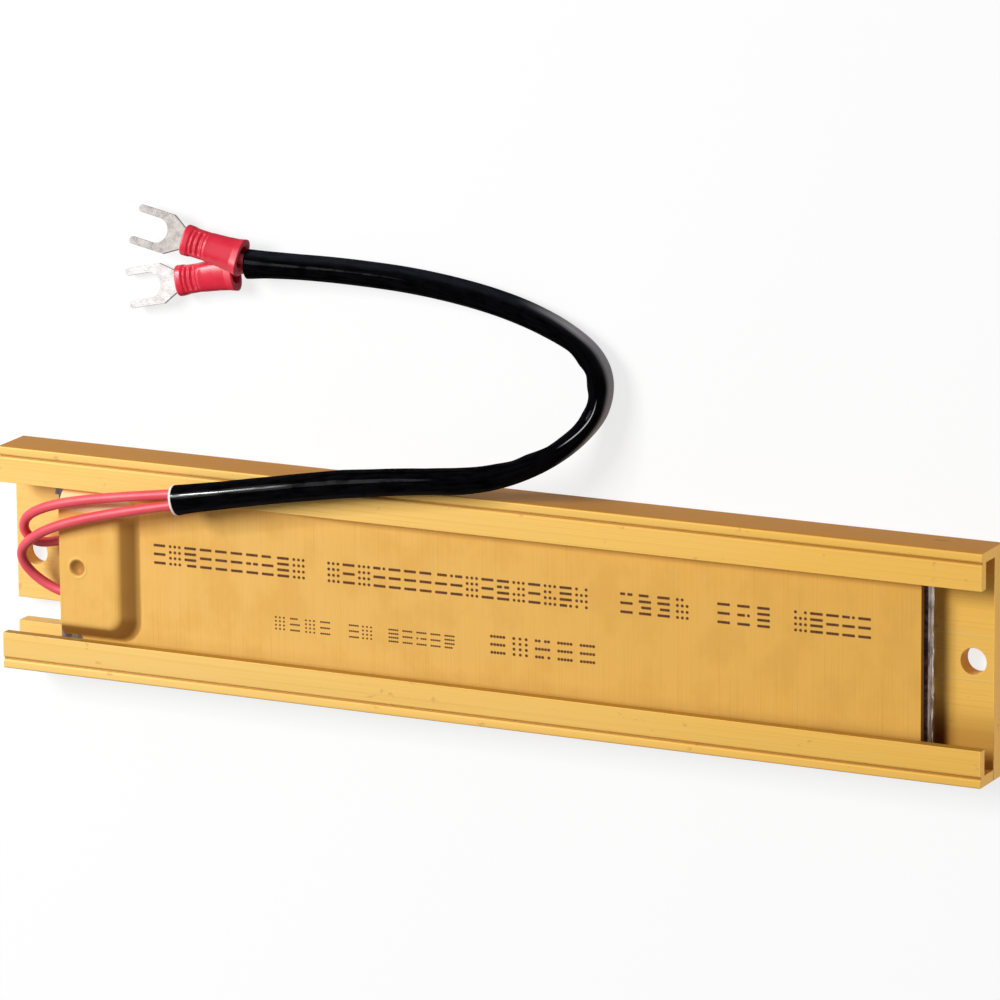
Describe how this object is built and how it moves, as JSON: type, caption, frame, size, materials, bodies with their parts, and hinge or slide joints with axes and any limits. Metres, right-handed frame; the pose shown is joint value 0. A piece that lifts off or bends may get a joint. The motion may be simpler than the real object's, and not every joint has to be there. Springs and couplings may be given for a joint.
{
  "type": "braking resistor",
  "caption": "Flat braking resistor: wound mica element under a pressed cover in an open aluminium channel, with sleeved leads to fork terminals.",
  "frame": {"origin": "middle of the flat mounting face, on the surface that it lies on", "axes": "+X along the channel away from the lead end, +Y across it towards the side where the cord lies, +Z out of its open front"},
  "size_m": [0.19, 0.0861, 0.0145],
  "materials": {
    "anodised_channel": "satin gold anodising",
    "anodised_cover": "fine brushed gold anodising",
    "mica": "silvery mica sheet",
    "resistance_alloy": "dull rolled alloy ribbon",
    "red_insulation": "soft satin silicone",
    "red_vinyl": "semi-gloss moulded vinyl",
    "tinned_copper": "dull tin plate",
    "black_sleeving": "glossy coated sleeving"
  },
  "bodies": {
    "root": {"housing": "anodised_channel", "cover_plate": "anodised_cover", "rear_mica": "mica", "front_mica": "mica", "element_card": "mica", "resistance_ribbon": "resistance_alloy", "return_strip": "resistance_alloy", "lead_upper": "red_insulation", "lead_lower": "red_insulation", "ferrule_upper": "tinned_copper", "ferrule_lower": "tinned_copper", "fork_upper": "tinned_copper", "fork_lower": "tinned_copper", "fork_grip_upper": "red_vinyl", "fork_grip_lower": "red_vinyl", "bare_ends_element": "tinned_copper", "bare_ends_forks": "tinned_copper", "sleeve": "black_sleeving"}
  },
  "joints": []
}
